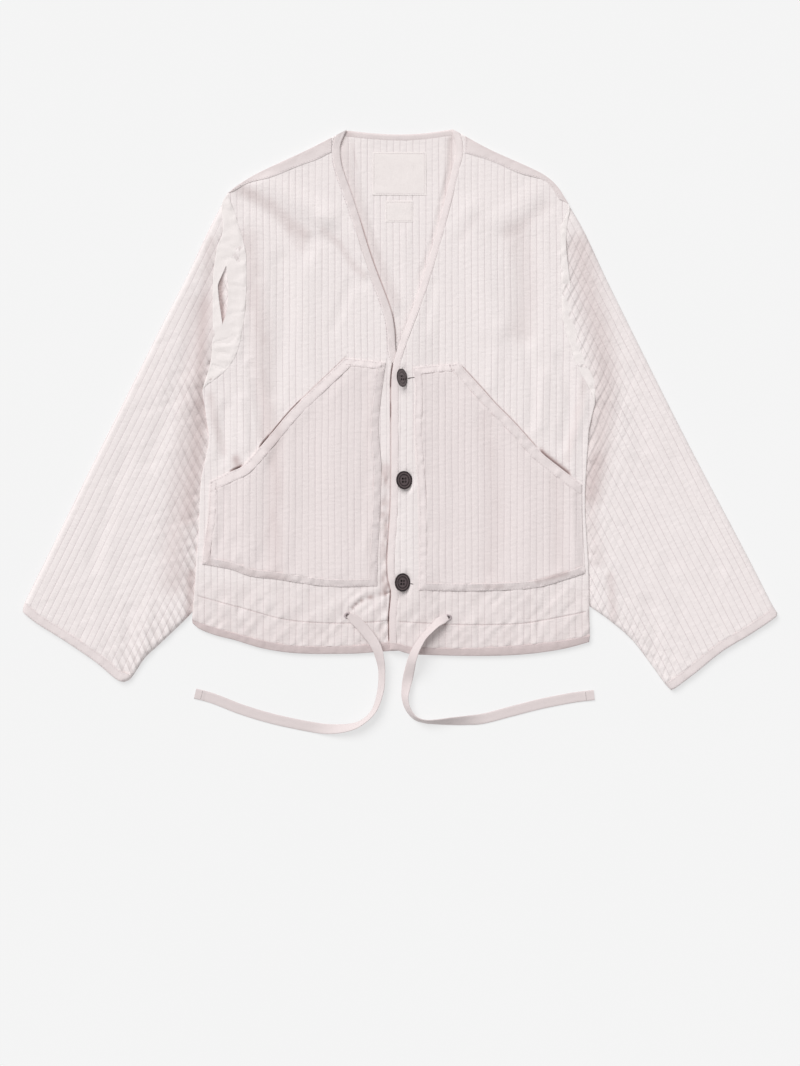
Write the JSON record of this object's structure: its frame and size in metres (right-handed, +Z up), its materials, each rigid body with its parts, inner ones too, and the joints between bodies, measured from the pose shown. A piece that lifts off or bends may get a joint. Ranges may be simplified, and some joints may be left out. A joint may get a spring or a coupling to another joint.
{
  "type": "v-neck jacket",
  "caption": "Pale quilted jacket laid flat, with a v-neck, patch pockets with slanted openings, taped seams, buttons and a drawstring hem.",
  "frame": {"origin": "on the table under the middle of the jacket's outline, the drawstring's free ends apart", "axes": "+X towards the wearer's left, which is the picture's right; +Y from hem to neck; +Z up off the table"},
  "size_m": [0.9048, 0.725, 0.0274],
  "materials": {
    "quilted_cloth": "matt pale pinkish woven cotton, channel quilted",
    "tape": "plain woven cotton tape, a little darker and pinker than the cloth",
    "label": "smooth bare woven label",
    "button": "dark brown horn look, polished",
    "cord_tape": "flat woven cotton tape"
  },
  "bodies": {
    "root": {"back": "quilted_cloth", "front_right": "quilted_cloth", "front_left": "quilted_cloth", "sleeve_right": "quilted_cloth", "sleeve_left": "quilted_cloth", "pocket_right": "quilted_cloth", "pocket_left": "quilted_cloth", "neck_binding_back": "tape", "front_binding_right": "tape", "front_binding_left": "tape", "hem_binding_back": "tape", "hem_binding_right": "tape", "hem_binding_left": "tape", "cuff_binding_right": "tape", "cuff_binding_left": "tape", "pocket_mouth_right": "tape", "pocket_mouth_left": "tape", "pocket_edge_right": "tape", "pocket_edge_left": "tape", "shoulder_tape_right": "tape", "shoulder_tape_left": "tape", "armhole_tape_right": "tape", "armhole_tape_left": "tape", "label_large": "label", "label_small": "label", "button_1": "button", "button_2": "button", "button_3": "button", "drawstring_right": "cord_tape", "drawstring_left": "cord_tape"}
  },
  "joints": []
}
